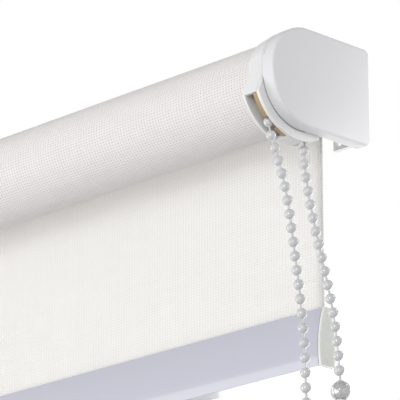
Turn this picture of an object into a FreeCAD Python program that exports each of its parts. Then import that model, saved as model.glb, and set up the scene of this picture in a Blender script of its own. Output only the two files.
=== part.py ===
"""Chain-operated roller blind on two covered wall brackets.

Frame: millimetres, X along the roller with the chain end at +X, Y = 0 on the wall with the room
at -Y, Z up, and Z = 0 on the roller's axis. The origin is the middle of the wall screw pattern.
"""
import FreeCAD
import Part
import math
import os

doc = FreeCAD.newDocument("roller_blind")
dim = doc.addObject("Spreadsheet::Sheet", "Dim")

SIZES = [
    ("cloth_width", 450, "width of the cloth"),
    ("control_gap", 15.8, "control cover's face to the cloth"),
    ("idle_gap", 9.2, "idle cover's face to the cloth"),
    ("axis_reach", 35.5, "wall to the roller's axis"),
    ("cover_radius", 20.9, "end cover, outside"),
    ("cover_depth", 5.8, "end cover, along X"),
    ("cover_wall", 1.4, "end cover's wall"),
    ("cover_corner", 2.5, "end cover's corners at the wall"),
    ("cover_edge", 1, "rounding of the cover's face"),
    ("plate_radius", 19.1, "bracket side plate"),
    ("plate_face", 2.4, "cover's face to the side plate"),
    ("steel", 2, "bracket sheet thickness"),
    ("foot_length", 16.4, "wall foot along X"),
    ("foot_half", 18.6, "half the wall foot's height"),
    ("screw_gap", 15.6, "cover's face to the wall screw holes"),
    ("screw_rise", 15, "wall screw holes above and below the axis"),
    ("screw_hole", 2.2, "radius of the wall screw holes"),
    ("slot_gap", 8.6, "cover's face to the centre of the wall slots"),
    ("slot_half", 1.8, "half the width of the wall slots"),
    ("slot_run", 3, "length of the slots' straight part"),
    ("hub_radius", 7.5, "clutch hub journal"),
    ("hub_end", 42.3, "cover's face to the hub's end"),
    ("run_gap", 0.06, "radial clearance of a running fit"),
    ("guard_radius", 20.7, "chain guard, upper part"),
    ("hood_radius", 24.9, "chain guard, hood below"),
    ("guard_wall", 1.4, "chain guard's wall"),
    ("guard_start", 6, "cover's face to the guard"),
    ("guard_split", 7.4, "cover's face to the joint of the guard's halves"),
    ("guard_end", 15.2, "cover's face to the guard's inner side"),
    ("wheel_radius", 12.6, "chain wheel"),
    ("wheel_start", 8, "cover's face to the chain wheel"),
    ("wheel_end", 13.4, "cover's face to the wheel's inner side"),
    ("bead_pitch", 6, "bead chain pitch"),
    ("bead_diameter", 4.3, "bead"),
    ("pockets", 12, "pockets of the chain wheel"),
    ("tube_radius", 16, "roller tube, outside"),
    ("tube_wall", 0.8, "roller tube's wall"),
    ("tube_overlap", 0.3, "tube past the cloth at each end"),
    ("key_width", 1.6, "key rib in the tube"),
    ("key_height", 1.2, "key rib in the tube"),
    ("roll_radius", 18.7, "cloth wound on the tube"),
    ("cloth", 0.6, "cloth thickness"),
    ("wrap_top", 19.3, "loose outer turn above the axis"),
    ("wrap_back", 23.2, "loose outer turn behind the axis"),
    ("rail_top", 88, "axis to the bottom rail's top"),
    ("rail_height", 24.5, "bottom rail"),
    ("rail_slot", 1.1, "cloth slot in the bottom rail"),
    ("rail_wall", 1.2, "bottom rail's wall"),
    ("cap_plate", 1.4, "rail end cap's plate"),
    ("pin_radius", 3, "sprung idle pin"),
]
for row, (alias, value, meaning) in enumerate(SIZES, start=1):
    dim.set(f"A{row}", meaning)
    dim.set(f"B{row}", str(value))
    dim.setAlias(f"B{row}", alias)
doc.recompute()

AXIS = FreeCAD.Vector(1, 0, 0)
HALF = "(Dim.cloth_width + Dim.control_gap + Dim.idle_gap) / 2"
pieces = []


def size(alias):
    """A driving dimension as a number, for the shapes made with Part's own functions."""
    return float(dim.get(alias))


def half_width():
    return (size("cloth_width") + size("control_gap") + size("idle_gap")) / 2


def control(near, far):
    """The X planes of a stretch, as distances inside the control cover's outer face."""
    return f"({HALF} - ({far}))", f"({HALF} - ({near}))"


def idle(near, far):
    """The X planes of a stretch, as distances inside the idle cover's outer face."""
    return f"(({near}) - {HALF})", f"(({far}) - {HALF})"


def across(idle_near, control_near):
    """The X planes of a piece that runs from one end of the blind to the other."""
    return idle(idle_near, "0")[0], control("0", control_near)[0]


def bind(item, **expressions):
    for name, text in expressions.items():
        item.setExpression(name.replace("_", "."), text)
    return item


def box(x, y, z):
    """A block between pairs of planes; Y and Z are measured from the roller's axis."""
    item = doc.addObject("Part::Box", "Block")
    bind(item, Length=f"{x[1]} - {x[0]}", Width=f"{y[1]} - ({y[0]})", Height=f"{z[1]} - ({z[0]})")
    return bind(item, Placement_Base_x=x[0], Placement_Base_y=f"{y[0]} - Dim.axis_reach",
                Placement_Base_z=z[0])


def rod(x, radius, y="0", z="0", sector=None):
    """A cylinder along X; a sector is (start, sweep) in degrees, from straight down towards the wall."""
    item = doc.addObject("Part::Cylinder", "Rod")
    turn = FreeCAD.Rotation(FreeCAD.Vector(0, 1, 0), 90)
    if sector:
        item.Angle = sector[1]
        turn = FreeCAD.Rotation(AXIS, sector[0]) * turn
    item.Placement = FreeCAD.Placement(FreeCAD.Vector(), turn)
    bind(item, Radius=radius, Height=f"{x[1]} - {x[0]}")
    return bind(item, Placement_Base_x=x[0], Placement_Base_y=f"{y} - Dim.axis_reach",
                Placement_Base_z=z)


def join(*shapes):
    item = doc.addObject("Part::MultiFuse", "Join")
    item.Shapes = list(shapes)
    item.Refine = True
    return item


def cut(base, *tools):
    item = doc.addObject("Part::Cut", "Cut")
    item.Base = base
    item.Tool = tools[0] if len(tools) == 1 else join(*tools)
    item.Refine = True
    return item


def round_edges(base, alias, wanted):
    """A fillet of a size from the sheet on the edges that the test picks."""
    doc.recompute()
    item = doc.addObject("Part::Fillet", "Rounded")
    item.Base = base
    radius = size(alias)
    picked = [n for n, edge in enumerate(base.Shape.Edges, start=1) if wanted(edge)]
    item.Edges = [(n, radius, radius) for n in picked]
    return item


def finish(label, item):
    item.Label = label
    pieces.append(item)
    return item


def shaped(label, shape):
    """A sub-part whose shape comes from Part's own functions, drawn about the roller's axis."""
    item = doc.addObject("Part::Feature", "Shaped")
    item.Shape = shape
    item.Placement = FreeCAD.Placement(FreeCAD.Vector(0, -size("axis_reach"), 0), FreeCAD.Rotation())
    return finish(label, item)


def at(x, y, z):
    return FreeCAD.Vector(x, y, z)


def polar(x, radius, degrees):
    """A point at a radius from the roller's axis, its angle turning from +Y to +Z."""
    angle = math.radians(degrees)
    return at(x, radius * math.cos(angle), radius * math.sin(angle))


def line(a, b):
    return Part.LineSegment(a, b).toShape()


def arc(a, middle, b):
    return Part.Arc(a, middle, b).toShape()


def slab(edges, length):
    """A closed outline in a plane across X, pushed along X."""
    return Part.Face(Part.Wire(edges)).extrude(at(length, 0, 0))


def pipe(path, start, heading, radius):
    """A round bar along a wire."""
    ring = Part.Wire(Part.Circle(start, heading, radius).toShape())
    return Part.Wire(path).makePipeShell([ring], True, True)


# ---- end covers: white moulded caps that push over the steel brackets ----

def d_shape(x, radius, back):
    """A half-round front about the roller's axis, with a straight block behind it."""
    return join(rod(x, radius), box(x, ("0", back), (f"-{radius}", radius)))


def end_cover(label, span, side):
    """The cap is open towards the wall and on its inner side."""
    skin = d_shape(span("0", "Dim.cover_depth"), "Dim.cover_radius", "Dim.axis_reach")
    outside = half_width() * side

    def at_wall(edge):
        room = edge.BoundBox
        return room.XLength > 1 and room.YMin > -0.01

    def on_face(edge):
        room = edge.BoundBox
        return room.XLength < 0.01 and abs(room.XMax - outside) < 0.01 and room.YMin < -0.01

    cornered = round_edges(skin, "cover_corner", at_wall)
    soft = round_edges(cornered, "cover_edge", on_face)
    hollow = d_shape(span("Dim.cover_wall", "Dim.cover_depth + 1"),
                     "(Dim.cover_radius - Dim.cover_wall)", "Dim.axis_reach + 1")
    return finish(label, cut(soft, hollow))


end_cover("control_cover", control, 1)
end_cover("idle_cover", idle, -1)


# ---- wall brackets: bent steel, a side plate and a foot with a hole and a slot at each end ----

def wall_hole(x, z, radius):
    """A round hole through the foot, towards the wall."""
    item = doc.addObject("Part::Cylinder", "Hole")
    item.Placement = FreeCAD.Placement(FreeCAD.Vector(), FreeCAD.Rotation(AXIS, 90))
    bind(item, Radius=radius, Height="6")
    return bind(item, Placement_Base_x=x, Placement_Base_y="1", Placement_Base_z=z)


def wall_bracket(label, span, *hub_holes):
    plate = d_shape(span("Dim.plate_face", PLATE_INNER), "Dim.plate_radius", "Dim.axis_reach")
    foot = box(span("Dim.plate_face", "Dim.plate_face + Dim.foot_length"),
               ("Dim.axis_reach - Dim.steel", "Dim.axis_reach"), ("-Dim.foot_half", "Dim.foot_half"))
    holes = []
    for rise in ("Dim.screw_rise", "-Dim.screw_rise"):
        holes.append(wall_hole(span("Dim.screw_gap", "Dim.screw_gap")[0], rise, "Dim.screw_hole"))
        slot = span("Dim.slot_gap - Dim.slot_run / 2", "Dim.slot_gap + Dim.slot_run / 2")
        holes.append(box(slot, ("Dim.axis_reach - 5", "Dim.axis_reach + 1"),
                         (f"{rise} - Dim.slot_half", f"{rise} + Dim.slot_half")))
        holes += [wall_hole(end, rise, "Dim.slot_half") for end in slot]
    return finish(label, cut(join(plate, foot), *holes, *hub_holes))


PLATE_INNER = "Dim.plate_face + Dim.steel"
PLATE_THROUGH = ("Dim.plate_face - 1", f"{PLATE_INNER} + 1")
HUB_SCREW_RISES = (9.5, -9.5)
spigot_hole = box(control(*PLATE_THROUGH), ("-5.1", "5.1"), ("-5.1", "5.1"))
plate_screw_holes = [rod(control(*PLATE_THROUGH), "1.5", z=str(rise)) for rise in HUB_SCREW_RISES]
wall_bracket("control_bracket", control, spigot_hole, *plate_screw_holes)
wall_bracket("idle_bracket", idle, rod(idle(*PLATE_THROUGH), "4.6"))


# ---- clutch hub: the fixed journal that the chain wheel and the roller turn on ----

flange = rod(control(PLATE_INNER, "Dim.guard_split"), "13")
collar = rod(control(PLATE_INNER, "Dim.guard_start"), "14.6")
journal = rod(control(PLATE_INNER, "Dim.hub_end"), "Dim.hub_radius")
spigot = box(control("Dim.plate_face", PLATE_INNER), ("-5", "5"), ("-5", "5"))
screw_sockets = [
    rod(control("Dim.plate_face", "Dim.guard_split - 0.6"), "1.45", z=str(rise))
    for rise in HUB_SCREW_RISES
]
end_socket = rod(control("Dim.hub_end - 12", "Dim.hub_end + 1"), "1.6")
finish("clutch_hub", cut(join(flange, collar, journal, spigot), end_socket, *screw_sockets))

hub_screws = []
for rise in HUB_SCREW_RISES:
    head = rod(control("Dim.plate_face - 0.8", "Dim.plate_face"), "2.7", z=str(rise))
    shank = rod(control("Dim.plate_face - 0.4", "Dim.guard_split - 1"), "1.4", z=str(rise))
    recess = box(control("Dim.plate_face - 1", "Dim.plate_face - 0.4"),
                 ("-1.6", "1.6"), (f"{rise - 0.3}", f"{rise + 0.3}"))
    hub_screws.append(cut(join(head, shank), recess))
hub_screw_pair = doc.addObject("Part::Compound", "Pair")
hub_screw_pair.Links = hub_screws
finish("hub_screws", hub_screw_pair)

WASHER_END = "Dim.hub_end + 1"
finish("hub_washer", cut(rod(control("Dim.hub_end", WASHER_END), "9.5"),
                         rod(control("Dim.hub_end - 1", "Dim.hub_end + 2"), "1.7")))
cap_head = rod(control(WASHER_END, f"{WASHER_END} + 2"), "3.1")
cap_shank = rod(control("Dim.hub_end - 9", WASHER_END), "1.55")
cap_recess = box(control(f"{WASHER_END} + 1.2", f"{WASHER_END} + 3"), ("-2.2", "2.2"), ("-0.4", "0.4"))
finish("hub_end_screw", cut(join(cap_head, cap_shank), cap_recess))


# ---- chain guard: two moulded halves with a port for the chain at the front and one at the rear ----

FACET = -19.4
FACET_FOOT = -0.7
LIP = (-22.8, -8.9)
WHEEL_HOLE = 13.1


def guard_outline(x, inset, hood_rear):
    """The guard's edge: round above, a flat and a ramp in front, and a fuller hood below."""
    upper, hood = size("guard_radius") - inset, size("hood_radius") - inset
    facet = FACET + inset
    flat_top = at(x, facet, math.sqrt(upper ** 2 - facet ** 2))
    flat_foot = at(x, facet, FACET_FOOT + inset / 2)
    lip = at(x, LIP[0] + inset, LIP[1] - inset / 2)
    hood_start = polar(x, hood, math.degrees(math.atan2(lip.z, lip.y)) + 2)
    rear_angle = -math.degrees(math.acos((hood_rear - inset) / hood))
    hood_end = polar(x, hood, rear_angle)
    step = polar(x, upper, rear_angle)
    return [
        line(flat_top, flat_foot), line(flat_foot, lip), line(lip, hood_start),
        arc(hood_start, polar(x, hood, -105), hood_end), line(hood_end, step),
        arc(step, polar(x, upper, 40), flat_top),
    ]


def guard_slab(start, end, inset, hood_rear):
    """A slab of the guard's outline between two distances from the cover's face."""
    return slab(guard_outline(half_width() - end, inset, hood_rear), end - start)


def port(y, z, start, end):
    """A block that opens the rim between two distances from the cover's face."""
    corner = at(half_width() - end, y[0], z[0])
    return Part.makeBox(end - start, y[1] - y[0], z[1] - z[0], corner)


def disc(radius, start, end):
    return Part.makeCylinder(radius, end - start, at(half_width() - end, 0, 0), AXIS)


BAND_REAR = 11.5
HOOD_REAR = 8.2
start, split, end = size("guard_start"), size("guard_split"), size("guard_end")
wall = size("guard_wall")
shaped("guard_outer", guard_slab(start, split, 0, BAND_REAR).cut(disc(WHEEL_HOLE, start - 1, split + 1)))
LINER_THICKNESS = 1.0
LINER_LIP = 2.4
FRONT_STRAND = (-16.1, -10.2)
liner = guard_slab(split, split + LINER_THICKNESS, wall + 0.2, HOOD_REAR)
lip = guard_slab(split, split + LINER_LIP, 0.4, HOOD_REAR)
lip = lip.common(port((-27, -5.2), (-28, LIP[1] - 1.1), split, split + LINER_LIP))
strand_room = port(FRONT_STRAND, (-28, 0), split + LINER_THICKNESS / 2, split + LINER_LIP + 1)
liner = liner.fuse(lip).cut(strand_room).cut(disc(WHEEL_HOLE, split - 1, split + LINER_LIP + 1))
shaped("guard_liner", liner.removeSplitter())

inner_face = end - 1.2
rim = guard_slab(split, end, 0, HOOD_REAR).cut(guard_slab(split - 1, inner_face, wall, HOOD_REAR))
rim = rim.cut(port((-27, -5), (-28, LIP[1] - 0.9), split - 1, inner_face))
rim = rim.cut(port((3.6, 14.5), (-28, -10), split - 1, inner_face))
rim = rim.cut(disc(WHEEL_HOLE, split - 1, end + 1))
TAPER_START = 9.0
TAPER_DROP = 1.0
full, inboard = size("guard_radius"), half_width() - end
shaving = Part.Face(Part.makePolygon([
    at(half_width() - TAPER_START, 0, full), at(inboard, 0, full - TAPER_DROP),
    at(inboard - 1, 0, full - TAPER_DROP), at(inboard - 1, 0, full + 3),
    at(half_width() - TAPER_START, 0, full + 3), at(half_width() - TAPER_START, 0, full),
]))
shaving = shaving.revolve(at(0, 0, 0), AXIS, 240)
shaving.rotate(at(0, 0, 0), AXIS, -155)
shaped("guard_inner", rim.cut(shaving).removeSplitter())


# ---- chain wheel: twelve bead pockets on the rim, and a part-round driver that works the springs ----

PITCH_RADIUS = size("bead_pitch") / 2 / math.sin(math.pi / size("pockets"))
WHEEL_MIDDLE = "(Dim.wheel_start + Dim.wheel_end) / 2"
DRIVER = (-50, 100)
wheel = rod(control("Dim.wheel_start", "Dim.wheel_end"), "Dim.wheel_radius")
driver = cut(rod(control("Dim.wheel_end - 0.4", "33"), "11.8", sector=DRIVER),
             rod(control("Dim.wheel_end - 1", "34"), "10"))
bead_pockets = []
for pocket in range(int(size("pockets"))):
    turn = 2 * math.pi * pocket / size("pockets")
    dimple = doc.addObject("Part::Sphere", "Pocket")
    bind(dimple, Radius="Dim.bead_diameter / 2 + 0.2",
         Placement_Base_x=control("0", WHEEL_MIDDLE)[0],
         Placement_Base_y=f"{math.cos(turn):.6f} * {PITCH_RADIUS:.3f} - Dim.axis_reach",
         Placement_Base_z=f"{math.sin(turn):.6f} * {PITCH_RADIUS:.3f}")
    bead_pockets.append(dimple)
groove_span = control(f"{WHEEL_MIDDLE} - 0.8", f"{WHEEL_MIDDLE} + 0.8")
string_groove = cut(rod(groove_span, "15"), rod(groove_span, f"{PITCH_RADIUS:.3f} - 0.9"))
hub_bore = rod(control("0", "60"), "Dim.hub_radius + Dim.run_gap")
finish("chain_wheel", cut(join(wheel, driver), hub_bore, string_groove, *bead_pockets))


# ---- coil springs: two wrap springs that brake the clutch, and the idle pin's push spring ----

def coil(x, mean, wire, pitch, turns, begin=0):
    """A coil towards +X from x; it begins at an angle from straight down towards the wall."""
    helix = Part.makeHelix(pitch, pitch * turns, mean)
    helix.rotate(at(0, 0, 0), at(0, 1, 0), 90)
    helix.rotate(at(0, 0, 0), AXIS, begin)
    helix.translate(at(x, 0, 0))
    edge = helix.Edges[0]
    first, last = edge.valueAt(edge.FirstParameter), edge.valueAt(edge.LastParameter)
    return pipe(helix.Edges, first, edge.tangentAt(edge.FirstParameter), wire / 2), first, last


EAR_ANGLE = DRIVER[1] / 2 + 4.5
EAR_LENGTH = 3.2


def clutch_spring(label, near):
    """A close coil just off the journal, with its two ears turned outwards beside the driver."""
    wire, pitch = 1.0, 1.25
    turns = 6 - 2 * EAR_ANGLE / 360
    x = half_width() - near - turns * pitch
    body, first, last = coil(x, size("hub_radius") + 0.85, wire, pitch, turns, EAR_ANGLE)
    ears = []
    for tip in (first, last):
        outward = at(0, tip.y, tip.z).normalize()
        ears.append(Part.makeCylinder(0.42 * wire, EAR_LENGTH, tip - outward * 0.15, outward))
    return shaped(label, body.fuse(ears))


clutch_spring("clutch_spring_outer", 15.6)
clutch_spring("clutch_spring_inner", 24.6)


# ---- drive sleeve: fits in the tube, and its rib stands between the springs' ears ----

TUBE_BORE = "(Dim.tube_radius - Dim.tube_wall)"
KEY_SLOT = ("-Dim.key_width / 2 - 0.2", "Dim.key_width / 2 + 0.2")
sleeve = rod(control("Dim.guard_end + 0.3", "42"), f"{TUBE_BORE} - 0.05")
sleeve_rib = cut(rod(control("Dim.guard_end", "36"), "13", sector=(162, 36)),
                 rod(control("Dim.guard_end - 1", "37"), "9.8"))
sleeve_hollow = cut(rod(control("Dim.guard_end", "36"), "12.2"), sleeve_rib)
sleeve_bore = rod(control("35", "43"), "Dim.hub_radius + Dim.run_gap")
sleeve_key = box(control("Dim.guard_end", "43"), KEY_SLOT, (f"{TUBE_BORE} - Dim.key_height - 0.3", "20"))
finish("drive_sleeve", cut(sleeve, sleeve_hollow, sleeve_bore, sleeve_key))


# ---- roller: aluminium tube with a key rib, the cloth's tape, and the cloth wound on it ----

TUBE = across("Dim.idle_gap - Dim.tube_overlap", "Dim.control_gap - Dim.tube_overlap")
CLOTH = across("Dim.idle_gap", "Dim.control_gap")
TAPE = (163, 34)
tube_wall = cut(rod(TUBE, "Dim.tube_radius"), rod(TUBE, TUBE_BORE))
key_rib = box(TUBE, ("-Dim.key_width / 2", "Dim.key_width / 2"),
              (f"{TUBE_BORE} - Dim.key_height", f"{TUBE_BORE} + 0.2"))
finish("roller_tube", join(tube_wall, key_rib))
tape_core = rod(CLOTH, "Dim.tube_radius")
tape_band = rod(CLOTH, "Dim.tube_radius + 0.3", sector=TAPE)
finish("cloth_tape", cut(tape_band, tape_core))
finish("cloth_roll", cut(rod(CLOTH, "Dim.roll_radius"), rod(CLOTH, "Dim.tube_radius"),
                         rod(CLOTH, "Dim.tube_radius + 0.3", sector=TAPE)))


# ---- cloth sheet: its outer turn stands loosely off the roll, then hangs behind it ----

left = size("idle_gap") - half_width()
hem = -size("rail_top") - 5.4


def sheet_line(outside):
    """The cloth's inner or outer line: over the top, round the back and down to the rail."""
    top, back = size("wrap_top") + outside, size("wrap_back") + outside
    return at(left, 0, top), polar(left, 0.5 * (top + back), 40), at(left, back, 0), at(left, back, hem)


inner, outer = sheet_line(0), sheet_line(size("cloth"))
sheet_edges = [
    arc(*inner[:3]), line(inner[2], inner[3]), line(inner[3], outer[3]),
    line(outer[3], outer[2]), arc(*outer[2::-1]), line(outer[0], inner[0]),
]
shaped("cloth_sheet", slab(sheet_edges, size("cloth_width")))


# ---- bottom rail: bow-fronted aluminium section with a slot on top, its rod and its end caps ----

RAIL_MIDDLE = size("wrap_back") + size("cloth") / 2
RAIL_FRONT = 4.3
RAIL_FOOT = 3.9
RAIL_CREST = 1.5
RAIL_CAP_CORE = (11, 21)


def rail_section(x, inset):
    """The section narrows to its top, bows out in front and behind, and has a flat foot."""
    top, foot = -size("rail_top") - inset, -size("rail_top") - size("rail_height") + inset
    crest, bow, toe = RAIL_CREST - inset / 2, RAIL_FRONT - inset, RAIL_FOOT - inset
    belly = 0.42 * top + 0.58 * foot
    front_top, front_foot = at(x, RAIL_MIDDLE - crest, top), at(x, RAIL_MIDDLE - toe, foot)
    back_top, back_foot = at(x, RAIL_MIDDLE + crest, top), at(x, RAIL_MIDDLE + toe, foot)
    return [
        line(back_top, front_top), arc(front_top, at(x, RAIL_MIDDLE - bow, belly), front_foot),
        line(front_foot, back_foot), arc(back_foot, at(x, RAIL_MIDDLE + bow, belly), back_top),
    ]


rail_left = left - size("tube_overlap")
rail_length = size("cloth_width") + 2 * size("tube_overlap")
rail_hollow = slab(rail_section(rail_left, size("rail_wall")), rail_length)
rail = slab(rail_section(rail_left, 0), rail_length).cut(rail_hollow)
slot = Part.makeBox(rail_length, size("rail_slot"), 4,
                    at(rail_left, RAIL_MIDDLE - size("rail_slot") / 2, -size("rail_top") - 3))
shaped("bottom_rail", rail.cut(slot))

ROD_RADIUS = 1.3
ROD_INSET = 12
rod_place = at(rail_left + ROD_INSET, RAIL_MIDDLE, hem - ROD_RADIUS - 0.2)
shaped("rail_rod", Part.makeCylinder(ROD_RADIUS, rail_length - 2 * ROD_INSET, rod_place, AXIS))


def rail_cap(label, x, inward):
    """A plate of the rail's own section, with a core that presses into the hollow rail."""
    plate = slab(rail_section(x, 0), -inward * size("cap_plate"))
    core = slab(rail_section(x, size("rail_wall") + 0.1), inward * 9)
    near = min(x, x + inward * 9)
    band = Part.makeBox(9, 20, RAIL_CAP_CORE[1] - RAIL_CAP_CORE[0],
                        at(near, RAIL_MIDDLE - 10, -size("rail_top") - RAIL_CAP_CORE[1]))
    return shaped(label, plate.fuse(core.common(band)).removeSplitter())


rail_cap("rail_cap_control", rail_left + rail_length, -1)
rail_cap("rail_cap_idle", rail_left, 1)


# ---- idle end: a bush in the bracket, and a sprung pin in the tube's plug ----

PLUG_START = "Dim.idle_gap - 1"
PLUG_END = "34"
CAVITY = "5.2"
PIN_BORE = "Dim.pin_radius + Dim.run_gap"
bush = join(rod(idle("Dim.plate_face", PLATE_INNER), "4.55"), rod(idle(PLATE_INNER, "5.6"), "7"))
finish("idle_bush", cut(bush, rod(idle("0", "8"), PIN_BORE)))

tube_start = "Dim.idle_gap - Dim.tube_overlap"
plug = join(rod(idle(PLUG_START, tube_start), "Dim.tube_radius"),
            rod(idle(tube_start, PLUG_END), f"{TUBE_BORE} - 0.05"))
plug_cavity = rod(idle("14", f"{PLUG_END} + 1"), CAVITY)
plug_relief = cut(rod(idle("13", f"{PLUG_END} + 1"), "12.4"), rod(idle("12", f"{PLUG_END} + 2"), "6.8"))
plug_key = box(idle(tube_start, f"{PLUG_END} + 1"), KEY_SLOT, (f"{TUBE_BORE} - Dim.key_height - 0.3", "20"))
finish("idle_plug", cut(plug, rod(idle("6", "15"), PIN_BORE), plug_cavity, plug_relief, plug_key))
finish("spring_stop", rod(idle("30", PLUG_END), f"{CAVITY} - 0.02"))

pin = join(rod(idle("2.7", "16"), "Dim.pin_radius"), rod(idle("14.3", "15.8"), "4.9"),
           rod(idle("15", "23.4"), "2.4"))
finish("idle_pin", pin)
shaped("idle_pin_spring", coil(16.2 - half_width(), 3.9, 0.7, 1.9, 7)[0])


# ---- bead chain: one endless loop through the clutch, drawn as a plain cord of the beads' size ----

CHAIN_ROUTE = [
    (-10.7, -13.4, -13.5), (-10.6, -12.9, -21.5), (-7.2, -12.3, -32.5), (-2.2, -12.0, -48),
    (1.6, -11.8, -72), (6.0, -11.4, -105), (7.4, -11.2, -141), (7.7, -12.4, -178),
    (7.2, -14.6, -209), (7.0, -15.9, -232), (6.8, -16.2, -253.5), (6.5, -7.7, -262),
    (6.3, 4.3, -262.3), (6.2, 12.8, -253.8), (6.5, 13.1, -233), (7.0, 11.4, -204),
    (7.5, 9.5, -170), (7.4, 8.2, -134), (5.6, 7.8, -104), (0.2, 7.2, -79),
    (-5.2, 6.8, -58), (-8.6, 6.6, -41), (-10.6, 6.9, -27.5), (-11.0, 9.0, -17.5),
]
CONNECTOR_PLACE = (7.2, 8.1, -129.5)
CONNECTOR_RADIUS = 4


def cord_path(points):
    """Straight runs joined by tangent arcs, each as large as its two runs allow."""
    edges, radii, begin = [], [], points[0]
    for before, here, after in zip(points, points[1:], points[2:]):
        back, ahead = before - here, after - here
        half_turn = (math.pi - back.getAngle(ahead)) / 2
        reach = 0.45 * min(back.Length, ahead.Length)
        radii.append(reach / math.tan(half_turn))
        back.normalize()
        ahead.normalize()
        enter, leave = here + back * reach, here + ahead * reach
        middle = here + (back + ahead).normalize() * (radii[-1] / math.cos(half_turn) - radii[-1])
        edges += [line(begin, enter), arc(enter, middle, leave)]
        begin = leave
    return edges + [line(begin, points[-1])], radii


route = [at(half_width() + x, y, z) for x, y, z in CHAIN_ROUTE]
chain_path, chain_radii = cord_path(route)
chain_tube = pipe(chain_path, route[0], route[1] - route[0], size("bead_diameter") / 2)
shaped("bead_chain", chain_tube)
chain_length = sum(edge.Length for edge in chain_path)
section = math.pi * size("bead_diameter") ** 2 / 4
print("chain length", round(chain_length, 1), "volume ratio",
      round(chain_tube.Volume / (section * chain_length), 4))
print("chain radii", [round(radius) for radius in chain_radii])

connector = at(half_width() + CONNECTOR_PLACE[0], *CONNECTOR_PLACE[1:])
shaped("chain_connector", Part.makeSphere(CONNECTOR_RADIUS, connector))


# ---- check every object, then write one file for each sub-part ----

doc.recompute()
for item in doc.Objects:
    if "Invalid" in item.State or "Error" in item.State:
        raise RuntimeError(f"{item.Name} ({item.Label}) failed: {item.State}")
for item in pieces:
    if item.Shape.isNull() or not item.Shape.isValid() or not item.Shape.Solids:
        raise RuntimeError(f"{item.Label} is not a valid solid")

os.makedirs("parts", exist_ok=True)
for item in pieces:
    item.Shape.exportStep(f"parts/{item.Label}.step")
    room = item.Shape.BoundBox
    print(f"{item.Label:22} solids {len(item.Shape.Solids)} volume {item.Shape.Volume:9.1f}  "
          f"X {room.XMin:8.2f} {room.XMax:8.2f}  Y {room.YMin:7.2f} {room.YMax:7.2f}  "
          f"Z {room.ZMin:8.2f} {room.ZMax:8.2f}")
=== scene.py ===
"""A chain-operated roller blind on two covered wall brackets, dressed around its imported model.

Metres, X along the roller towards the chain end, Y into the wall, Z up.
"""
import math

import bmesh
import bpy
from mathutils import Euler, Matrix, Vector


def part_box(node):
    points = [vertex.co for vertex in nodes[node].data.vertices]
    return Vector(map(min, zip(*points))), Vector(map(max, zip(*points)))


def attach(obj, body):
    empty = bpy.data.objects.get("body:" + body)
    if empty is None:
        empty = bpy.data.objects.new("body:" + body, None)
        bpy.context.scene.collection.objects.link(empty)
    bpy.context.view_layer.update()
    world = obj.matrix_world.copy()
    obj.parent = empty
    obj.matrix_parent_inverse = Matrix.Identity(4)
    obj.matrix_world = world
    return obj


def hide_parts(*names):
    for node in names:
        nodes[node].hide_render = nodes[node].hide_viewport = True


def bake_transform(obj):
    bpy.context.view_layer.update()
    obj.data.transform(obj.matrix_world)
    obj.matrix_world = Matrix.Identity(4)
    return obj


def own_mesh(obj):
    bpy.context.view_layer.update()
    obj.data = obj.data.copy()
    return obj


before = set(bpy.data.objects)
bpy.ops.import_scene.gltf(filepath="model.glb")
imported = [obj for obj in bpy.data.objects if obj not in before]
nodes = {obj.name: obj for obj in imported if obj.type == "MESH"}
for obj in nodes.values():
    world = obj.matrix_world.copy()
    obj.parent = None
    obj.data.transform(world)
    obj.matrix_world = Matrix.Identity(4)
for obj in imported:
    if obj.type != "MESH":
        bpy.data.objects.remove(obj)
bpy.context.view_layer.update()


# ---- Camera: it stands to the right of the blind and well below it, and looks up at the chain end
# through a long lens, so that the roller runs away to the left.

tube_low, tube_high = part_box("roller_tube")
AXIS_Y = (tube_low[1] + tube_high[1]) / 2
AXIS_Z = (tube_low[2] + tube_high[2]) / 2
CONTROL_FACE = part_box("control_cover")[1][0]
IDLE_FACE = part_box("idle_cover")[0][0]

AIM = Vector((CONTROL_FACE - 0.0416, AXIS_Y - 0.0206, AXIS_Z - 0.0466))
AZIMUTH = math.radians(45.65)
ELEVATION = math.radians(-18.2)
DISTANCE = 1.28

camera_data = bpy.data.cameras.new("Camera")
camera_data.sensor_width = 36
camera_data.lens = 288
camera_data.clip_end = 20
camera = bpy.data.objects.new("Camera", camera_data)
bpy.context.collection.objects.link(camera)
back = Vector((
    math.sin(AZIMUTH) * math.cos(ELEVATION),
    -math.cos(AZIMUTH) * math.cos(ELEVATION),
    math.sin(ELEVATION),
))
camera.location = AIM + back * DISTANCE
camera.rotation_euler = back.to_track_quat("Z", "Y").to_euler()
bpy.context.scene.camera = camera


# ---- Studio: a white backdrop that lights the blind most from the front and from below, soft lights
# in front, on the left and behind the cloth, and a small one near the wall. The floor lies far below.

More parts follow.
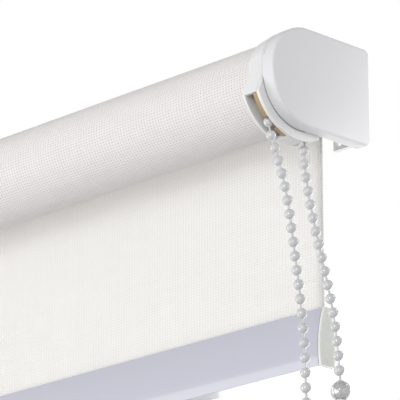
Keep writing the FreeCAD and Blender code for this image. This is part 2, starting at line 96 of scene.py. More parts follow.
class Wire:
    """A shader value: arithmetic on it adds Math nodes, and node() adds any other kind."""

    def __init__(self, tree, socket=None):
        self.tree = tree
        self.socket = socket

    def node(self, kind, settings=None, values=None, output=0):
        made = self.tree.nodes.new("ShaderNode" + kind)
        for name, value in (settings or {}).items():
            setattr(made, name, value)
        for name, value in (values or {}).items():
            if isinstance(value, Wire):
                self.tree.links.new(value.socket, made.inputs[name])
            else:
                made.inputs[name].default_value = value
        return Wire(self.tree, made.outputs[output])

    def math(self, operation, *values):
        return self.node("Math", {"operation": operation}, dict(enumerate(values)))

    def __add__(self, other):
        return self.math("ADD", self, other)

    def __sub__(self, other):
        return self.math("SUBTRACT", self, other)

    def __rsub__(self, other):
        return self.math("SUBTRACT", other, self)

    def __mul__(self, other):
        return self.math("MULTIPLY", self, other)

    __radd__ = __add__
    __rmul__ = __mul__

    def blend(self, first, second):
        """A colour from first to second, with this value as the factor."""
        return self.node("Mix", {"data_type": "RGBA"}, {0: self, 6: first, 7: second}, 2)

    def bump(self, strength, distance):
        return self.node("Bump", None, {"Strength": strength, "Distance": distance, "Height": self})

    def feed(self, socket):
        self.tree.links.new(self.socket, socket)


bpy.context.scene.view_settings.view_transform = "Standard"
world = bpy.data.worlds.new("Studio")
bpy.context.scene.world = world
world.use_nodes = True
sky = Wire(world.node_tree)
toward = sky.node("SeparateXYZ", None, {"Vector": sky.node("TexCoord")})
height = Wire(sky.tree, toward.socket.node.outputs[2])
depth = Wire(sky.tree, toward.socket.node.outputs[1])
glow = toward.math("MAXIMUM", depth * -1, 0) * 0.26 + toward.math("MAXIMUM", height * -1, 0) * 0.70
glow = glow - toward.math("MAXIMUM", height, 0) * 0.28 + 0.63
level = sky.node("LightPath") * (1 - glow) + glow
level.feed(world.node_tree.nodes["Background"].inputs["Strength"])
world.node_tree.nodes["Background"].inputs["Color"].default_value = (1, 1, 1, 1)


def soft_light(name, place, aim, size, power, colour=(1, 1, 1)):
    """A square area light that faces a point."""
    data = bpy.data.lights.new(name, "AREA")
    data.size = size
    data.energy = power
    data.color = colour
    light = bpy.data.objects.new(name, data)
    bpy.context.collection.objects.link(light)
    light.location = place
    light.rotation_euler = (Vector(place) - Vector(aim)).to_track_quat("Z", "Y").to_euler()


soft_light("front_light", (0.9, -1.4, 0.1), (0.2, 0, -0.05), 0.5, 6)
soft_light("left_light", (-0.6, -0.8, -0.3), (0, 0, -0.05), 0.8, 4)
soft_light("back_light", (0.05, 0.5, -0.2), (0.1, 0, -0.05), 0.7, 2.8, (1, 0.97, 0.94))
soft_light("near_light", (CONTROL_FACE + 0.06, 0.06, -0.01), (CONTROL_FACE, -0.02, 0), 0.04, 0.032)

floor_mesh = bpy.data.meshes.new("floor")
floor_bm = bmesh.new()
bmesh.ops.create_grid(floor_bm, size=4)
bmesh.ops.translate(floor_bm, verts=floor_bm.verts, vec=(0, 0, -2))
floor_bm.to_mesh(floor_mesh)
floor_bm.free()
floor = bpy.data.objects.new("floor", floor_mesh)
bpy.context.collection.objects.link(floor)
paper = bpy.data.materials.new("white_paper")
paper.use_nodes = True
paper.node_tree.nodes["Principled BSDF"].inputs["Base Color"].default_value = (0.9, 0.9, 0.9, 1)
paper.node_tree.nodes["Principled BSDF"].inputs["Roughness"].default_value = 0.9
floor_mesh.materials.append(paper)


# ---- End covers: white moulded caps with a half-round front. Each pushes over its steel bracket and
# is open at the back and towards the roller. Their skins are 1.4 mm thick with softened edges.

def new_material(name):
    """A material, its principled shader, and a wire to start its nodes from."""
    material = bpy.data.materials.new(name)
    material.use_nodes = True
    tree = material.node_tree
    return material, tree.nodes["Principled BSDF"], Wire(tree)


def noise(start, scale, detail=3.0, stretch=(1, 1, 1)):
    """Noise in the piece's own place; scale counts its cells to a metre."""
    place = start.node("TexCoord", output=3)
    placed = start.node("Mapping", None, {"Vector": place, "Scale": stretch})
    return start.node("TexNoise", None, {"Vector": placed, "Scale": scale, "Detail": detail})


def moulded(name, light, dark, roughness, grain=0.06, **shader):
    """Moulded plastic: a faint flow mottle, fine mould grain, and a little wander in its gloss."""
    material, principled, start = new_material(name)
    mottle = noise(start, 45)
    mottle.blend(light, dark).feed(principled.inputs["Base Color"])
    (noise(start, 220) * 0.12 + (roughness - 0.06)).feed(principled.inputs["Roughness"])
    noise(start, 2600, 2).bump(grain, 0.0001).feed(principled.inputs["Normal"])
    for socket, value in shader.items():
        principled.inputs[socket.replace("_", " ")].default_value = value
    return material


def new_piece(name, bm, material, body, slot, *replaced, smooth_angle=30):
    """Turns a bmesh into a piece that rides on a body, if given, and stands for CAD nodes."""
    mesh = bpy.data.meshes.new(name)
    bm.to_mesh(mesh)
    bm.free()
    mesh.materials.append(material)
    piece = bpy.data.objects.new(name, mesh)
    bpy.context.collection.objects.link(piece)
    mesh.shade_smooth()
    mesh.set_sharp_from_angle(angle=math.radians(smooth_angle))
    if body:
        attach(piece, body)
    if replaced:
        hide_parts(*replaced)
    return piece


def edges_where(bm, test):
    """The edges whose two ends both pass the test."""
    return [edge for edge in bm.edges if all(test(vert.co) for vert in edge.verts)]


def rounded(bm, edges, offset, segments):
    return bmesh.ops.bevel(bm, geom=edges, offset=offset, segments=segments, profile=0.5,
                           affect="EDGES", material=-1, clamp_overlap=False)


cover_white = moulded("cover_white", (0.765, 0.765, 0.78, 1), (0.735, 0.735, 0.75, 1), 0.42)
COVER_RADIUS = (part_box("control_cover")[1][2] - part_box("control_cover")[0][2]) / 2
COVER_WALL = 0.0014
COVER_CORNER = 0.0025
COVER_EDGE = 0.0011


def end_cover(name, node, body, face, side):
    """A block rounded to a D, opened on two sides and given its skin; side is +1 or -1 along X."""
    low, high = (Vector(corner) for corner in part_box(node))
    bm = bmesh.new()
    bmesh.ops.create_cube(bm, size=1)
    bmesh.ops.scale(bm, verts=bm.verts, vec=high - low)
    bmesh.ops.translate(bm, verts=bm.verts, vec=(low + high) / 2)
    front = edges_where(bm, lambda co: co.y < low.y + 1e-5)
    rounded(bm, [edge for edge in front if abs(edge.verts[0].co.x - edge.verts[1].co.x) > 1e-4],
            COVER_RADIUS, 40)
    wall = edges_where(bm, lambda co: co.y > high.y - 1e-5)
    rounded(bm, [edge for edge in wall if abs(edge.verts[0].co.x - edge.verts[1].co.x) > 1e-4],
            COVER_CORNER, 8)
    bmesh.ops.remove_doubles(bm, verts=bm.verts, dist=1e-6)
    rounded(bm, edges_where(bm, lambda co: abs(co.x - face) < 1e-6), COVER_EDGE, 5)
    open_sides = [f for f in bm.faces
                  if f.normal.x * side < -0.9 or (f.normal.y > 0.9 and f.calc_center_median().y > high.y - 1e-4)]
    bmesh.ops.delete(bm, geom=open_sides, context="FACES")
    bmesh.ops.recalc_face_normals(bm, faces=bm.faces)
    outward = sum((f.normal.x * f.calc_area() for f in bm.faces), 0) * side
    if outward < 0:
        bmesh.ops.reverse_faces(bm, faces=bm.faces)
    bmesh.ops.solidify(bm, geom=bm.faces, thickness=COVER_WALL)
    new_piece(name, bm, cover_white, body, "white_plastic", node)


end_cover("control_end_cover", "control_cover", "control_cap", CONTROL_FACE, 1)
end_cover("idle_end_cover", "idle_cover", "idle_cap", IDLE_FACE, -1)


# ---- Chain guard: two white moulded halves round the chain wheel. Above it is concentric with the
# cover; in front it steps out over a lip into a fuller hood with a port for each strand of chain.

FACET_Y = AXIS_Y - 0.0194
FACET_FOOT_Z = AXIS_Z - 0.0007
LIP_Y = AXIS_Y - 0.0228
LIP_Z = AXIS_Z - 0.0089
UPPER_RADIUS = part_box("guard_outer")[1][2] - AXIS_Z
HOOD_RADIUS = AXIS_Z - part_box("guard_outer")[0][2]
GUARD_WALL = 0.0014
GUARD_EDGE = 0.0003
WHEEL_HOLE = 0.0131
BAND_REAR = 0.0115
HOOD_REAR = 0.0082
TAPER_START_X = CONTROL_FACE - 0.009
TAPER_DROP = 0.001
SEAM_SHADOW = 0.0005


def on_axis(x, radius, degrees):
    """A point at a radius from the roller's axis, its angle turning from the wall upwards."""
    angle = math.radians(degrees)
    return Vector((x, AXIS_Y + radius * math.cos(angle), AXIS_Z + radius * math.sin(angle)))


def arc_on(bm, vert, middle, end, steps):
    """Spins a corner along the circle through two more points across X; returns its last corner."""
    (ay, az), (by, bz), (cy, cz) = vert.co.yz, middle.yz, end.yz
    scale = 2 * (ay * (bz - cz) + by * (cz - az) + cy * (az - bz))
    squares = [y * y + z * z for y, z in ((ay, az), (by, bz), (cy, cz))]
    centre_y = (squares[0] * (bz - cz) + squares[1] * (cz - az) + squares[2] * (az - bz)) / scale
    centre_z = (squares[0] * (cy - by) + squares[1] * (ay - cy) + squares[2] * (by - ay)) / scale
    turn = math.atan2(cz - centre_z, cy - centre_y) - math.atan2(az - centre_z, ay - centre_y)
    turn %= math.tau
    if scale < 0:
        turn -= math.tau
    made = bmesh.ops.spin(bm, geom=[vert], cent=(vert.co.x, centre_y, centre_z), axis=(1, 0, 0),
                          angle=turn, steps=steps)
    return next(item for item in made["geom_last"] if isinstance(item, bmesh.types.BMVert))


def run_to(bm, vert, point):
    """A straight edge from a corner to a new one."""
    last = bm.verts.new(point)
    bm.edges.new((vert, last))
    return last


def push_outline(bm, length):
    """Fills the outline that the edges make and pushes it along X into a closed solid."""
    bmesh.ops.remove_doubles(bm, verts=bm.verts, dist=1e-7)
    face = bmesh.ops.edgeloop_fill(bm, edges=bm.edges)["faces"]
    pushed = bmesh.ops.extrude_face_region(bm, geom=face)["geom"]
    bmesh.ops.translate(bm, vec=(length, 0, 0), verts=[v for v in pushed if isinstance(v, bmesh.types.BMVert)])
    bmesh.ops.recalc_face_normals(bm, faces=bm.faces)
    return bm


def guard_solid(x, length, inset, hood_rear):
    """The guard's outline, set in by a wall where a hollow is wanted, pushed along X."""
    upper, hood = UPPER_RADIUS - inset, HOOD_RADIUS - inset
    facet = FACET_Y + inset
    rear = -math.degrees(math.acos((hood_rear - inset) / hood))
    flat_top = Vector((x, facet, AXIS_Z + math.sqrt(upper ** 2 - (facet - AXIS_Y) ** 2)))
    lip = Vector((x, LIP_Y + inset, LIP_Z - inset / 2))
    lip_angle = math.degrees(math.atan2(lip.z - AXIS_Z, lip.y - AXIS_Y))
    bm = bmesh.new()
    corner = run_to(bm, bm.verts.new(flat_top), Vector((x, facet, FACET_FOOT_Z + inset / 2)))
    corner = run_to(bm, run_to(bm, corner, lip), on_axis(x, hood, lip_angle + 2))
    corner = arc_on(bm, corner, on_axis(x, hood, -105), on_axis(x, hood, rear), 40)
    corner = run_to(bm, corner, on_axis(x, upper, rear))
    arc_on(bm, corner, on_axis(x, upper, 40), flat_top, 72)
    return push_outline(bm, length)


def block(low, high):
    """A box between two corners."""
    bm = bmesh.new()
    bmesh.ops.create_cube(bm, size=1)
    bmesh.ops.scale(bm, verts=bm.verts, vec=Vector(high) - Vector(low))
    bmesh.ops.translate(bm, verts=bm.verts, vec=(Vector(high) + Vector(low)) / 2)
    return bm


def barrel(x, length, radius, segments=96):
    """A closed cylinder on the roller's axis."""
    bm = bmesh.new()
    bmesh.ops.create_circle(bm, cap_ends=True, segments=segments, radius=radius)
    bmesh.ops.rotate(bm, verts=bm.verts, matrix=Euler((0, math.pi / 2, 0)).to_matrix())
    bmesh.ops.translate(bm, verts=bm.verts, vec=(x, AXIS_Y, AXIS_Z))
    pushed = bmesh.ops.extrude_face_region(bm, geom=bm.faces[:])["geom"]
    bmesh.ops.translate(bm, vec=(length, 0, 0), verts=[v for v in pushed if isinstance(v, bmesh.types.BMVert)])
    bmesh.ops.recalc_face_normals(bm, faces=bm.faces)
    return bm


def carved(bm, *steps):
    """Adds or takes away other solids, each step an operation and its bmesh."""
    meshes = []
    for part in (bm, *(other for operation, other in steps)):
        mesh = bpy.data.meshes.new("carving")
        part.to_mesh(mesh)
        part.free()
        meshes.append(mesh)
    base = bpy.data.objects.new("carving", meshes[0])
    bpy.context.collection.objects.link(base)
    tools = []
    for (operation, other), mesh in zip(steps, meshes[1:]):
        tool = bpy.data.objects.new("carving_tool", mesh)
        bpy.context.collection.objects.link(tool)
        tools.append(tool)
        cutter = base.modifiers.new("carve", "BOOLEAN")
        cutter.operation = operation
        cutter.object = tool
        cutter.solver = "EXACT"
    bpy.context.view_layer.update()
    result = bmesh.new()
    result.from_object(base, bpy.context.evaluated_depsgraph_get())
    for item in (base, *tools):
        bpy.data.objects.remove(item)
    for mesh in meshes:
        bpy.data.meshes.remove(mesh)
    bmesh.ops.remove_doubles(result, verts=result.verts, dist=2e-6)
    bmesh.ops.dissolve_limit(result, angle_limit=math.radians(0.5), verts=result.verts,
                             edges=result.edges, delimit={"NORMAL"})
    bmesh.ops.recalc_face_normals(result, faces=result.faces)
    return result


def softened(piece, width, segments=3):
    """A live bevel on the piece's hard edges, as a mould leaves them."""
    bevel = piece.modifiers.new("soft_edges", "BEVEL")
    bevel.width = width
    bevel.segments = segments
    bevel.limit_method = "ANGLE"
    bevel.angle_limit = math.radians(40)
    bevel.harden_normals = True
    return piece


guard_white = moulded("guard_white", (0.80, 0.80, 0.80, 1), (0.76, 0.76, 0.76, 1), 0.38,
                      Subsurface_Weight=0.4, Subsurface_Scale=0.002, Subsurface_Radius=(1, 0.9, 0.8))
outer_low, outer_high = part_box("guard_outer")
inner_low, inner_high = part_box("guard_inner")
SPLIT_X = inner_high[0]
INNER_FACE_X = CONTROL_FACE - 0.014
GUARD_END_X = CONTROL_FACE - 0.0152

recess = barrel(outer_high[0] - SEAM_SHADOW, 0.002, COVER_RADIUS)
bmesh.ops.translate(recess, verts=recess.verts, vec=(0, 0.0001, -0.0004))
band = carved(
    guard_solid(SPLIT_X, outer_high[0] - SPLIT_X, 0, BAND_REAR),
    ("DIFFERENCE", barrel(SPLIT_X - 0.001, 0.01, WHEEL_HOLE)),
    ("DIFFERENCE", recess),
)
softened(new_piece("guard_band", band, guard_white, "root", "white_plastic", "guard_outer"), GUARD_EDGE)

shaving = bmesh.new()
shaving_face = shaving.faces.new([shaving.verts.new(on_axis(x, radius, -65)) for x, radius in (
    (TAPER_START_X, UPPER_RADIUS), (GUARD_END_X, UPPER_RADIUS - TAPER_DROP),
    (GUARD_END_X - 0.001, UPPER_RADIUS - TAPER_DROP), (GUARD_END_X - 0.001, UPPER_RADIUS + 0.003),
    (TAPER_START_X, UPPER_RADIUS + 0.003),
)])
shaved = bmesh.ops.spin(shaving, geom=[shaving_face, *shaving_face.edges, *shaving_face.verts],
                        cent=(0, AXIS_Y, AXIS_Z), axis=(1, 0, 0), angle=math.radians(240), steps=96)
bmesh.ops.recalc_face_normals(shaving, faces=shaving.faces)
ports = [
    block((INNER_FACE_X, AXIS_Y - 0.027, AXIS_Z - 0.028), (SPLIT_X + 0.001, AXIS_Y - 0.005, LIP_Z - 0.0009)),
    block((INNER_FACE_X, AXIS_Y + 0.0036, AXIS_Z - 0.028), (SPLIT_X + 0.001, AXIS_Y + 0.0145, AXIS_Z - 0.010)),
]
hood = carved(
    guard_solid(GUARD_END_X, SPLIT_X - GUARD_END_X, 0, HOOD_REAR),
    ("DIFFERENCE", guard_solid(INNER_FACE_X, SPLIT_X - INNER_FACE_X + 0.001, GUARD_WALL, HOOD_REAR)),
    ("DIFFERENCE", ports[0]), ("DIFFERENCE", ports[1]),
    ("DIFFERENCE", barrel(GUARD_END_X - 0.001, 0.01, WHEEL_HOLE)),
    ("DIFFERENCE", shaving),
)
softened(new_piece("guard_hood", hood, guard_white, "root", "white_plastic", "guard_inner"), GUARD_EDGE)


# ---- Clutch: the hub and chain wheel are moulded in a tan, self-lubricating plastic, and the guard's
# liner gets the same tan. The tan is partly the plastic's colour and partly painted warm light, the
# glow that shines into the guard's port; on the liner it is painted light only. The drive sleeve is
# white acetal; the wrap springs, screws and washer are bright steel. All of it keeps its machined shape.

def metal(name, colour, roughness, streak_scale, stretch):
    """Bare or plated metal with fine streaks along its length."""
    material, principled, start = new_material(name)
    principled.inputs["Base Color"].default_value = colour
    principled.inputs["Metallic"].default_value = 1
    streaks = noise(start, streak_scale, 4, stretch)
    (streaks * 0.16 + (roughness - 0.08)).feed(principled.inputs["Roughness"])
    streaks.bump(0.08, 0.0001).feed(principled.inputs["Normal"])
    return material


def dress(material, *names):
    """Gives CAD nodes their finish."""
    for name in names:
        mesh = nodes[name].data
        mesh.materials.clear()
        mesh.materials.append(material)


# Painted warm light: this tan stands for the warm glow seen inside the guard's port.
tan_and_painted_glow = moulded("tan_and_painted_glow", (0.44, 0.31, 0.155, 1), (0.37, 0.26, 0.125, 1), 0.4)
white_acetal = moulded("white_acetal", (0.82, 0.81, 0.77, 1), (0.78, 0.77, 0.73, 1), 0.32)
bright_steel = metal("bright_steel", (0.62, 0.62, 0.63, 1), 0.3, 600, (1, 1, 1))
dress(tan_and_painted_glow, "chain_wheel", "clutch_hub", "guard_liner")
dress(white_acetal, "drive_sleeve")
dress(bright_steel, "clutch_spring_outer", "clutch_spring_inner", "hub_screws", "hub_washer",
      "hub_end_screw")


# ---- Wall brackets: bent sheet steel with a white powder coat, a screw hole and a slot at each end
# of the foot.

powder_coat, powder_shader, powder_start = new_material("powder_coat")
noise(powder_start, 60).blend((0.80, 0.80, 0.80, 1), (0.76, 0.76, 0.76, 1)).feed(
    powder_shader.inputs["Base Color"])
(noise(powder_start, 300) * 0.15 + 0.3).feed(powder_shader.inputs["Roughness"])
noise(powder_start, 1500, 2).bump(0.15, 0.0002).feed(powder_shader.inputs["Normal"])
dress(powder_coat, "control_bracket", "idle_bracket")


# ---- Idle end: a white bush, plug and stop, with a bright sprung pin between them.

dress(white_acetal, "idle_bush", "idle_plug", "spring_stop")
dress(bright_steel, "idle_pin")

SPRING_WIRE = 0.0007
SPRING_TURNS = 7
STEPS_A_TURN = 28
spring_low, spring_high = (Vector(corner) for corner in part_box("idle_pin_spring"))
spring_length = spring_high.x - spring_low.x
spring_radius = (spring_high.z - spring_low.z - SPRING_WIRE) / 2
coil_steps = SPRING_TURNS * STEPS_A_TURN
coil = bmesh.new()
bmesh.ops.create_circle(coil, cap_ends=True, segments=10, radius=SPRING_WIRE / 2)
bmesh.ops.rotate(coil, verts=coil.verts, matrix=Euler((math.pi / 2, 0, 0)).to_matrix())
bmesh.ops.translate(coil, verts=coil.verts,
                    vec=(spring_low.x + SPRING_WIRE / 2, AXIS_Y, AXIS_Z - spring_radius))
bmesh.ops.spin(coil, geom=coil.verts[:] + coil.edges[:] + coil.faces[:], cent=(0, AXIS_Y, AXIS_Z),
               axis=(1, 0, 0), angle=SPRING_TURNS * math.tau, steps=coil_steps,
               dvec=((spring_length - SPRING_WIRE) / coil_steps, 0, 0))
bmesh.ops.recalc_face_normals(coil, faces=coil.faces)
pin_spring = new_piece("pin_spring", coil, bright_steel, "roller", "bright_steel", "idle_pin_spring")
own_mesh(pin_spring)


# ---- Roller: an extruded aluminium tube, a strip of tape, and the cloth wound on it. The roll's ends
# show the turns of cloth as fine steps.

dress(metal("mill_aluminium", (0.78, 0.78, 0.79, 1), 0.35, 900, (0.02, 1, 1)), "roller_tube")
dress(moulded("tape_film", (0.80, 0.79, 0.72, 1), (0.77, 0.76, 0.70, 1), 0.3), "cloth_tape")

WARP_PITCH = 0.0016
WEFT_PITCH = 0.0012
CLOTH_THICKNESS = 0.0006


def woven(name, light, shade, see_through):
    """Plain weave on the cloth's own map: threads cross over and under, with pin holes between. Its colour runs
    from light on the threads down to shade in the gaps and pin holes, and that shade is painted.
    """
    material, principled, start = new_material(name)
    place = start.node("UVMap", {"uv_map": "weave"})
    split = start.node("SeparateXYZ", None, {"Vector": place})
    drift = noise(start, 140, 2) * 0.35
    across = split * (math.pi / WARP_PITCH) + drift
    along = Wire(split.tree, split.socket.node.outputs[1]) * (math.pi / WEFT_PITCH) + drift
    cross_over = across.math("COSINE", across) * along.math("COSINE", along)
    warp = across.math("ABSOLUTE", across.math("COSINE", across))
    weft = along.math("ABSOLUTE", along.math("COSINE", along))
    over = cross_over * 0.35 + 0.5
    height = warp * over
    height = height.math("MAXIMUM", height, weft * (1 - over))
    solid = height.math("SMOOTH_MIN", height * 2.4, 1.0, 0.3)
    slub = noise(start, 260, 3, (0.12, 1, 1)) * 0.5 + noise(start, 260, 3, (1, 1, 0.12)) * 0.5
    tone = solid * (slub * 0.3 + 0.75)
    # The shade end of this blend is painted shade in the weave's gaps; the slub is the yarn's own uneven tone.
    tone.blend(shade, light).feed(principled.inputs["Base Color"])
    principled.inputs["Roughness"].default_value = 0.85
    principled.inputs["Sheen Weight"].default_value = 0.15
    height.bump(0.8, 0.0003).feed(principled.inputs["Normal"])
    through = start.node("BsdfTranslucent", None, {"Color": tone.blend(shade, light)})
    mixed = start.node("MixShader", None, {0: see_through})
    mix = mixed.socket.node
    start.tree.links.new(principled.outputs[0], mix.inputs[1])
    start.tree.links.new(through.socket, mix.inputs[2])
    start.tree.links.new(mix.outputs[0], start.tree.nodes["Material Output"].inputs["Surface"])
    return material


roll_low, roll_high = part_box("cloth_roll")
ROLL_RADIUS = (roll_high[2] - roll_low[2]) / 2
TUBE_RADIUS = (tube_high[2] - tube_low[2]) / 2
TURNS = round((ROLL_RADIUS - TUBE_RADIUS) / CLOTH_THICKNESS)
# The roll's darker weave colour is painted shade between the threads, and its warm pink cast is painted bounce
# light.
roll_cloth = woven("roll_cloth", (0.95, 0.93, 0.925, 1), (0.52, 0.47, 0.45, 1), 0.12)

roll = bmesh.new()
layer = roll.verts.new(on_axis(roll_low[0], TUBE_RADIUS, 90))
for turn in range(TURNS):
    inner = TUBE_RADIUS + (ROLL_RADIUS - TUBE_RADIUS) * turn / TURNS
    outer = TUBE_RADIUS + (ROLL_RADIUS - TUBE_RADIUS) * (turn + 1) / TURNS
    for inset, radius in ((0, 0.2), (0, 0.8), (0.0003, 1.0)):
        layer = run_to(roll, layer, on_axis(roll_low[0] + inset, inner + (outer - inner) * radius, 90))
roll_ends = [vert.co.copy() for vert in roll.verts]
for step in range(1, 40):
    x = roll_low[0] + (roll_high[0] - roll_low[0]) * step / 40
    layer = run_to(roll, layer, on_axis(x, ROLL_RADIUS, 90))
for point in reversed(roll_ends):
    layer = run_to(roll, layer, Vector((roll_low[0] + roll_high[0] - point.x, point.y, point.z)))
layer = run_to(roll, layer, on_axis(roll_low[0], TUBE_RADIUS, 90))
bmesh.ops.remove_doubles(roll, verts=roll.verts, dist=1e-7)
bmesh.ops.spin(roll, geom=roll.verts[:] + roll.edges[:], cent=(0, AXIS_Y, AXIS_Z), axis=(1, 0, 0),
               angle=math.tau, steps=96, use_merge=True)
bmesh.ops.recalc_face_normals(roll, faces=roll.faces)
weave_map = roll.loops.layers.uv.new("weave")
for face in roll.faces:
    middle = face.calc_center_median()
    centre = math.atan2(middle.z - AXIS_Z, middle.y - AXIS_Y)
    for loop in face.loops:
        co = loop.vert.co
        angle = math.atan2(co.z - AXIS_Z, co.y - AXIS_Y) - centre
        angle = centre + (angle + math.pi) % math.tau - math.pi
        loop[weave_map].uv = (co.x, angle * ROLL_RADIUS)
new_piece("wound_cloth", roll, roll_cloth, "roller", "blind_cloth", "cloth_roll")


# ---- Hanging cloth: the outer turn stands loosely off the roll, comes down behind it and ends in the
# bottom rail's slot. It is a coarse off-white weave that lets light through.

sheet_low, sheet_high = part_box("cloth_sheet")
SHEET_Y = sheet_high[1] - CLOTH_THICKNESS / 2
LIFT_START = 100
LEAVE_ROLL = 92
STEPS_ROUND = 40
STEPS_DOWN = 36
STEPS_ACROSS = 90
BURIED = 0.0007
RIPPLE = 0.0003
# The sheet's darker weave colour is painted shade between its threads.
sheet_cloth = woven("sheet_cloth", (0.93, 0.927, 0.917, 1), (0.76, 0.745, 0.72, 1), 0.48)


def stand_off(degrees):
    """The loose turn's radius: buried in the roll at its start, and easing out to the drop behind."""
    share = min(1, max(0, (LEAVE_ROLL - degrees) / LEAVE_ROLL))
    lift = share * share * (3 - 2 * share)
    start = min(1, max(0, (LIFT_START - degrees) / (LIFT_START - LEAVE_ROLL)))
    on_roll = ROLL_RADIUS + CLOTH_THICKNESS / 2 - BURIED * (1 - start)
    return on_roll + (SHEET_Y - AXIS_Y - on_roll) * lift


sheet = bmesh.new()
point = sheet.verts.new(on_axis(sheet_low[0], stand_off(LIFT_START), LIFT_START))
for step in range(1, STEPS_ROUND + 1):
    degrees = LIFT_START * (1 - step / STEPS_ROUND)
    point = run_to(sheet, point, on_axis(sheet_low[0], stand_off(degrees), degrees))
for step in range(1, STEPS_DOWN + 1):
    z = AXIS_Z + (sheet_low[2] - AXIS_Z) * step / STEPS_DOWN
    point = run_to(sheet, point, Vector((sheet_low[0], SHEET_Y, z)))
sheet.verts.index_update()
spine = [vert.co.copy() for vert in sheet.verts]
reach = [0.0]
for before, here in zip(spine, spine[1:]):
    reach.append(reach[-1] + (here - before).length)
bmesh.ops.spin(sheet, geom=sheet.verts[:] + sheet.edges[:], cent=(0, 0, 0), axis=(1, 0, 0), angle=0,
               dvec=((sheet_high[0] - sheet_low[0]) / STEPS_ACROSS, 0, 0), steps=STEPS_ACROSS)
bmesh.ops.recalc_face_normals(sheet, faces=sheet.faces)
length_at = {(round(co.y, 6), round(co.z, 6)): run for co, run in zip(spine, reach)}
weave_map = sheet.loops.layers.uv.new("weave")
for face in sheet.faces:
    for loop in face.loops:
        co = loop.vert.co
        loop[weave_map].uv = (co.x, length_at[round(co.y, 6), round(co.z, 6)])
for vert in sheet.verts:
    drop = (AXIS_Z - vert.co.z) / (AXIS_Z - sheet_low[2])
    if drop > 0:
        wave = math.sin(vert.co.x * 31) + 0.6 * math.sin(vert.co.x * 73 + 1)
        vert.co.y += RIPPLE * wave * math.sin(math.pi * drop)
hanging = new_piece("hanging_cloth", sheet, sheet_cloth, None, "blind_cloth", "cloth_sheet",
                    smooth_angle=60)
thick = hanging.modifiers.new("thickness", "SOLIDIFY")
thick.thickness = CLOTH_THICKNESS
thick.offset = 0
RAIL_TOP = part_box("bottom_rail")[1][2]
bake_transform(hanging)


# ---- Bottom rail: an aluminium extrusion with a pale satin coat, bowed in front and behind, with a
# slot along its top for the cloth and its rod, and a milky cap pressed into each end.

rail_low, rail_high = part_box("bottom_rail")
RAIL_Y = (rail_low[1] + rail_high[1]) / 2
RAIL_BOW = (rail_high[1] - rail_low[1]) / 2
RAIL_TOE = 0.0039
RAIL_CREST = 0.0015
RAIL_WALL = 0.0012
RAIL_SLOT = 0.0011
CAP_PLATE = 0.0014
CAP_SEAM = 0.00025
CAP_CORE = 0.009


def rail_solid(x, length, inset):
    """The rail's outline, set in by its wall where a hollow is wanted, pushed along X."""
    top, foot = rail_high[2] - inset, rail_low[2] + inset
    belly = 0.42 * top + 0.58 * foot
    crest, bow, toe = RAIL_CREST - inset / 2, RAIL_BOW - inset, RAIL_TOE - inset
    bm = bmesh.new()
    first = Vector((x, RAIL_Y + crest, top))
    corner = run_to(bm, bm.verts.new(first), Vector((x, RAIL_Y - crest, top)))
    corner = arc_on(bm, corner, Vector((x, RAIL_Y - bow, belly)), Vector((x, RAIL_Y - toe, foot)), 20)
    corner = run_to(bm, corner, Vector((x, RAIL_Y + toe, foot)))
    arc_on(bm, corner, Vector((x, RAIL_Y + bow, belly)), first, 20)
    return push_outline(bm, length)


satin_coat, satin_shader, satin_start = new_material("satin_coat")
noise(satin_start, 14, 2).blend((0.50, 0.505, 0.58, 1), (0.53, 0.535, 0.61, 1)).feed(
    satin_shader.inputs["Base Color"])
(noise(satin_start, 700, 4, (0.03, 1, 1)) * 0.1 + 0.13).feed(satin_shader.inputs["Roughness"])
noise(satin_start, 2200, 2, (0.05, 1, 1)).bump(0.06, 0.0001).feed(satin_shader.inputs["Normal"])
satin_shader.inputs["Coat Weight"].default_value = 0.5

rail_length = rail_high[0] - rail_low[0]
rail = carved(
    rail_solid(rail_low[0], rail_length, 0),
    ("DIFFERENCE", rail_solid(rail_low[0] - 0.001, rail_length + 0.002, RAIL_WALL)),
    ("DIFFERENCE", block((rail_low[0] - 0.001, RAIL_Y - RAIL_SLOT / 2, RAIL_TOP - 0.003),
                         (rail_high[0] + 0.001, RAIL_Y + RAIL_SLOT / 2, RAIL_TOP + 0.001))),
)
softened(new_piece("rail_extrusion", rail, satin_coat, "rail", "rail_aluminium", "bottom_rail"), 0.0004)

milky_cap = moulded("milky_cap", (0.84, 0.86, 0.80, 1), (0.76, 0.78, 0.72, 1), 0.28,
                    Subsurface_Weight=0.35, Subsurface_Scale=0.003, Subsurface_Radius=(0.8, 1, 0.7))


def rail_cap(name, node, x, inward):
    """A plate with the rail's outline and a core that presses into the hollow."""
    low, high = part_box(node)
    plate = rail_solid(min(x - inward * CAP_SEAM, x - inward * CAP_PLATE), CAP_PLATE - CAP_SEAM, 0)
    core = carved(
        rail_solid(min(x, x + inward * CAP_CORE) - 0.0005, CAP_CORE + 0.001, RAIL_WALL + 0.0001),
        ("INTERSECT", block((low[0] - 0.001, low[1], rail_high[2] - 0.021),
                            (high[0] + 0.001, high[1], rail_high[2] - 0.011))),
    )
    cap = carved(plate, ("UNION", core))
    return softened(new_piece(name, cap, milky_cap, "rail", "rail_cap_plastic", node), 0.00025)


rail_cap("control_rail_cap", "rail_cap_control", rail_high[0], -1)
rail_cap("idle_rail_cap", "rail_cap_idle", rail_low[0], 1)
dress(white_acetal, "rail_rod")


# ---- Bead chain: an endless loop of white beads moulded on a cord, 6 mm apart. It comes out of the
# guard's two ports, leans towards the room end of the blind, and its lower part hangs out of view.

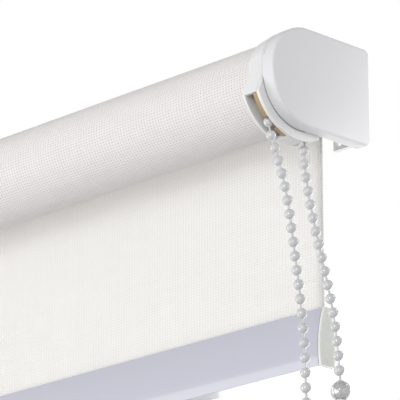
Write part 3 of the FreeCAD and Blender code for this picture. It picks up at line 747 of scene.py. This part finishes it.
BEAD_PITCH = 0.006
BEAD_RADIUS = 0.00215
CORD_RADIUS = 0.00045
CHAIN_ROUTE = [
    (-0.0107, -0.0134, -0.0135), (-0.0106, -0.0129, -0.0215), (-0.0072, -0.0123, -0.0325),
    (-0.0022, -0.0120, -0.0480), (0.0016, -0.0118, -0.0720), (0.0060, -0.0114, -0.1050),
    (0.0074, -0.0112, -0.1410), (0.0077, -0.0124, -0.1780), (0.0072, -0.0146, -0.2090),
    (0.0070, -0.0159, -0.2320), (0.0068, -0.0162, -0.2535), (0.0065, -0.0077, -0.2620),
    (0.0063, 0.0043, -0.2623), (0.0062, 0.0128, -0.2538), (0.0065, 0.0131, -0.2330),
    (0.0070, 0.0114, -0.2040), (0.0075, 0.0095, -0.1700), (0.0074, 0.0082, -0.1340),
    (0.0056, 0.0078, -0.1040), (0.0002, 0.0072, -0.0790), (-0.0052, 0.0068, -0.0580),
    (-0.0086, 0.0066, -0.0410), (-0.0106, 0.0069, -0.0275), (-0.0110, 0.0090, -0.0175),
]
route_origin = Vector((CONTROL_FACE, AXIS_Y, AXIS_Z))
chain_curve = bpy.data.curves.new("chain_line", "CURVE")
chain_curve.dimensions = "3D"
chain_curve.resolution_u = 24
spline = chain_curve.splines.new("NURBS")
spline.points.add(len(CHAIN_ROUTE) - 1)
for place, offset in zip(spline.points, CHAIN_ROUTE):
    place.co = (*(route_origin + Vector(offset)), 1)
spline.order_u = 3
spline.use_endpoint_u = True
chain_holder = bpy.data.objects.new("chain_line", chain_curve)
chain_mesh = bpy.data.meshes.new_from_object(chain_holder)
chain_line = [vert.co.copy() for vert in chain_mesh.vertices]
bpy.data.objects.remove(chain_holder)


def spaced_points(line, pitch):
    """Points a pitch apart along the line, from its start."""
    points, left = [line[0].copy()], pitch
    for before, here in zip(line, line[1:]):
        run = (here - before).length
        done = 0.0
        while run - done > left:
            done += left
            left = pitch
            points.append(before.lerp(here, done / run))
        left -= run - done
    return points


def add_bead(bm, place, radius, segments=16):
    ball = bmesh.ops.create_uvsphere(bm, u_segments=segments, v_segments=segments * 5 // 8, radius=radius)
    bmesh.ops.translate(bm, verts=ball["verts"], vec=place)


def add_rod(bm, start, end, radius):
    """A short round bar between two points."""
    along = end - start
    bar = bmesh.ops.create_cone(bm, cap_ends=True, segments=8, radius1=radius, radius2=radius,
                                depth=along.length)
    bmesh.ops.rotate(bm, verts=bar["verts"], matrix=along.to_track_quat("Z", "Y").to_matrix())
    bmesh.ops.translate(bm, verts=bar["verts"], vec=(start + end) / 2)


bead_white = moulded("bead_white", (0.64, 0.645, 0.66, 1), (0.58, 0.585, 0.60, 1), 0.16,
                     Coat_Weight=0.8, IOR=1.6)
beads = spaced_points(chain_line, BEAD_PITCH)
chain = bmesh.new()
for place in beads:
    add_bead(chain, place, BEAD_RADIUS)
for start, end in zip(beads, beads[1:]):
    add_rod(chain, start, end, CORD_RADIUS)
bead_chain = new_piece("beads_on_cord", chain, bead_white, "root", "chain_plastic", "bead_chain")

connector_low, connector_high = (Vector(corner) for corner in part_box("chain_connector"))
connector_place = (connector_low + connector_high) / 2
CONNECTOR_RADIUS = (connector_high.z - connector_low.z) / 2
clear_plastic = moulded("clear_plastic", (0.80, 0.80, 0.80, 1), (0.74, 0.74, 0.74, 1), 0.1, 0.02,
                        Transmission_Weight=0.6, IOR=1.49, Coat_Weight=0.5)
connector = bmesh.new()
add_bead(connector, connector_place, CONNECTOR_RADIUS, 40)
seam = [edge for edge in connector.edges
        if all(abs(vert.co.x - connector_place.x) < 1e-5 for vert in edge.verts)]
groove = bmesh.ops.bevel(connector, geom=seam, offset=0.00025, segments=2, profile=0.5,
                         affect="EDGES", material=-1)
middle_ring = [vert for vert in connector.verts if abs(vert.co.x - connector_place.x) < 1e-5]
for vert in middle_ring:
    vert.co = connector_place + (vert.co - connector_place) * 0.93
connector_ball = new_piece("chain_joiner", connector, clear_plastic, "root", "clear_plastic",
                           "chain_connector")
